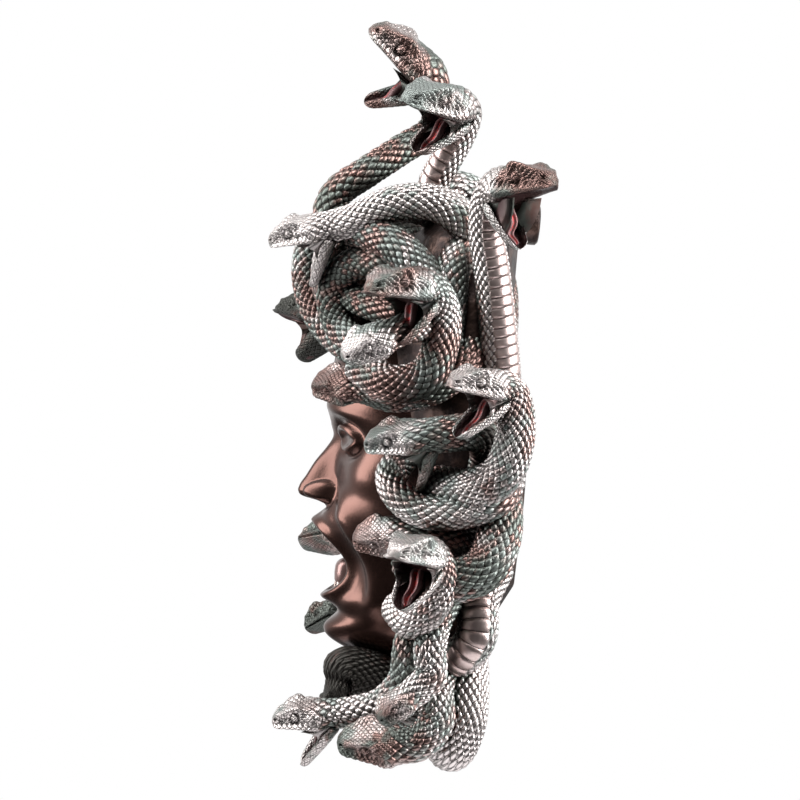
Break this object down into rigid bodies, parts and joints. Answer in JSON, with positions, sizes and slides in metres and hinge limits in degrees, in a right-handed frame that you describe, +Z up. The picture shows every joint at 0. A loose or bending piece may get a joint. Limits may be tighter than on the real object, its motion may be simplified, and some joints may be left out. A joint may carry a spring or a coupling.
{
  "type": "gorgon mask",
  "caption": "Wall-hung gorgon head with writhing snakes for hair and an open crying mouth, cast in one piece with a flat, hollowed back.",
  "frame": {"origin": "point on the boss of the upper back where the mask lies on the wall, just below the nail socket in it", "axes": "+Z up, +Y into the wall, -Y the way the face looks, +X the mask's left"},
  "size_m": [0.2415, 0.1194, 0.3182],
  "materials": {
    "bronze": "dark polished bronze, rubbed bright on the raised scales, green patina in blotches"
  },
  "bodies": {
    "root": {"gorgon_mask": "bronze"}
  },
  "joints": []
}
